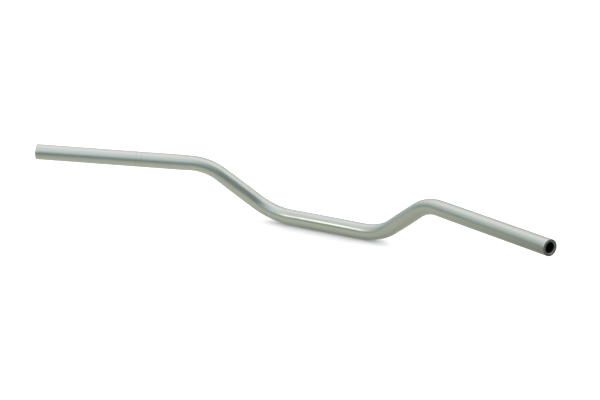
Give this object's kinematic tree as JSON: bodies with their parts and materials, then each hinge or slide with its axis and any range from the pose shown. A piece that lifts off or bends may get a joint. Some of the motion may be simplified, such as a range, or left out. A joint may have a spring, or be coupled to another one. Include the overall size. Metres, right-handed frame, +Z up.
{
  "type": "motorcycle handlebar",
  "caption": "Bare wide motorcycle handlebar: one hollow satin silver tube with a straight clamp section, a low rise and grips swept back, open at the ends.",
  "frame": {"origin": "centre of the straight clamp section, on the tube's axis", "axes": "+X along the clamp section towards the rider's right hand, +Y the direction of travel, +Z up; the grips sweep back to -Y"},
  "size_m": [0.8114, 0.1593, 0.1024],
  "materials": {
    "satin_silver": "satin, fine-blasted and clear anodised; bare turned metal on the two end faces and in the bore"
  },
  "bodies": {
    "root": {"handlebar_tube": "satin_silver"}
  },
  "joints": []
}
